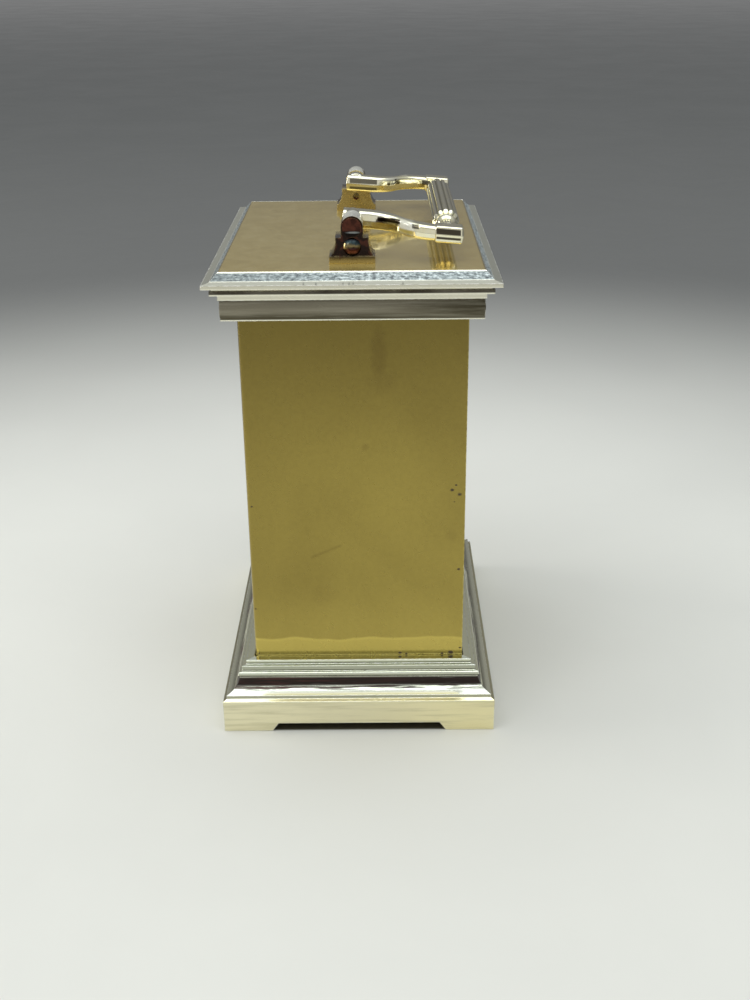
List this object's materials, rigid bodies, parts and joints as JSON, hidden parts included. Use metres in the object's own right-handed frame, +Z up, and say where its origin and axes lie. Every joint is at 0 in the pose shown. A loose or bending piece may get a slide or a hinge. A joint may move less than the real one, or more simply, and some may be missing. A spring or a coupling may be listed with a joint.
{
  "type": "mantel clock",
  "caption": "Carriage-style mantel clock with a brass box case, moulded base and cornice, folding carrying handle, rear door and battery movement.",
  "frame": {"origin": "middle of the resting plane under the feet", "axes": "+Z up, -Y towards the dial, X across the width"},
  "size_m": [0.0966, 0.0728, 0.1361],
  "materials": {
    "plated_gold": "polished pale gold plating",
    "satin_brass": "satin lacquered sheet",
    "tarnished_brass": "tarnished plating",
    "steel": "zinc plated",
    "brass": "turned",
    "glass": "clear flat glass",
    "dial_white": "painted off-white",
    "black_plastic": "moulded, fine texture",
    "white_plastic": "moulded acetal",
    "magnet": "sintered",
    "copper_wire": "enamelled winding",
    "board_green": "coated board",
    "battery_wrap": "plain wrapped cell",
    "hand_black": "black lacquer"
  },
  "bodies": {
    "case": {"base_plinth": "plated_gold", "base_plate": "steel", "case_shell": "satin_brass", "top_cornice": "plated_gold", "top_plate": "satin_brass", "tie_rods": "steel", "tie_rod_nuts": "steel", "bracket_right": "tarnished_brass", "bracket_left": "tarnished_brass", "bracket_screws": "steel", "bracket_rivets": "tarnished_brass", "handle_pivot_pins": "tarnished_brass", "front_bezel": "plated_gold", "front_glass": "glass", "dial_frame": "black_plastic", "dial_plate": "dial_white", "dial_screws": "steel", "movement_front_shell": "black_plastic", "movement_rear_cover": "black_plastic", "train_plate": "white_plastic", "movement_screws": "steel", "mounting_washer": "brass", "mounting_nut": "brass", "circuit_board": "board_green", "quartz_crystal": "steel", "driver_chip": "black_plastic", "coil_winding": "copper_wire", "coil_core": "steel", "stator_plate": "steel", "battery": "battery_wrap", "battery_contact_positive": "steel", "battery_contact_negative": "steel", "door_magnet": "magnet"},
    "handle": {"handle_arm_right": "plated_gold", "handle_arm_left": "plated_gold", "handle_grip": "plated_gold", "grip_collars": "plated_gold", "grip_rod": "steel"},
    "door": {"rear_door": "satin_brass", "door_hinge_pins": "steel", "door_knob": "plated_gold", "door_strike_plate": "steel"},
    "minute_work": {"minute_hand": "hand_black", "minute_pipe": "white_plastic"},
    "hour_work": {"hour_hand": "hand_black", "hour_wheel": "white_plastic"},
    "setting_work": {"setting_knob": "black_plastic", "motion_wheel": "white_plastic"},
    "seconds_work": {"second_hand": "hand_black", "seconds_wheel": "white_plastic"},
    "rotor": {"rotor_magnet": "magnet", "rotor_pinion": "white_plastic"},
    "intermediate": {"intermediate_wheel": "white_plastic"},
    "third": {"third_wheel": "white_plastic"},
    "centre": {"centre_wheel": "white_plastic"}
  },
  "joints": [
    {"name": "handle_swing", "type": "hinge", "parent": "case", "child": "handle", "pos_m": [0, 0, 0.1334], "axis": [1, 0, 0], "range_deg": [0, 190.19]},
    {"name": "door_swing", "type": "hinge", "parent": "case", "child": "door", "pos_m": [0.0374, 0.027, 0.06575], "axis": [0, 0, -1], "range_deg": [0, 100]},
    {"name": "minute_turn", "type": "hinge", "parent": "case", "child": "minute_work", "pos_m": [0, -0.015, 0.06575], "axis": [0, 1, 0], "continuous": true},
    {"name": "hour_turn", "type": "hinge", "parent": "case", "child": "hour_work", "pos_m": [0, -0.015, 0.06575], "axis": [0, 1, 0], "continuous": true},
    {"name": "setting_turn", "type": "hinge", "parent": "case", "child": "setting_work", "pos_m": [0, -0.015, 0.07775], "axis": [0, 1, 0], "continuous": true},
    {"name": "seconds_turn", "type": "hinge", "parent": "case", "child": "seconds_work", "pos_m": [0, -0.015, 0.06575], "axis": [0, 1, 0], "continuous": true},
    {"name": "intermediate_turn", "type": "hinge", "parent": "case", "child": "intermediate", "pos_m": [-0.009, -0.015, 0.06575], "axis": [0, 1, 0], "continuous": true},
    {"name": "rotor_turn", "type": "hinge", "parent": "case", "child": "rotor", "pos_m": [-0.01381, -0.015, 0.07056], "axis": [0, 1, 0], "continuous": true},
    {"name": "third_turn", "type": "hinge", "parent": "case", "child": "third", "pos_m": [0.0085, -0.015, 0.06575], "axis": [0, 1, 0], "continuous": true},
    {"name": "centre_turn", "type": "hinge", "parent": "case", "child": "centre", "pos_m": [0, -0.015, 0.06575], "axis": [0, 1, 0], "continuous": true}
  ],
  "couplings": [
    {"joint": "hour_turn", "follows": "minute_turn", "ratio": 0.083333},
    {"joint": "setting_turn", "follows": "minute_turn", "ratio": -0.33333},
    {"joint": "intermediate_turn", "follows": "seconds_turn", "ratio": -4},
    {"joint": "rotor_turn", "follows": "seconds_turn", "ratio": 30},
    {"joint": "third_turn", "follows": "seconds_turn", "ratio": -0.13333},
    {"joint": "centre_turn", "follows": "seconds_turn", "ratio": 0.016667}
  ]
}
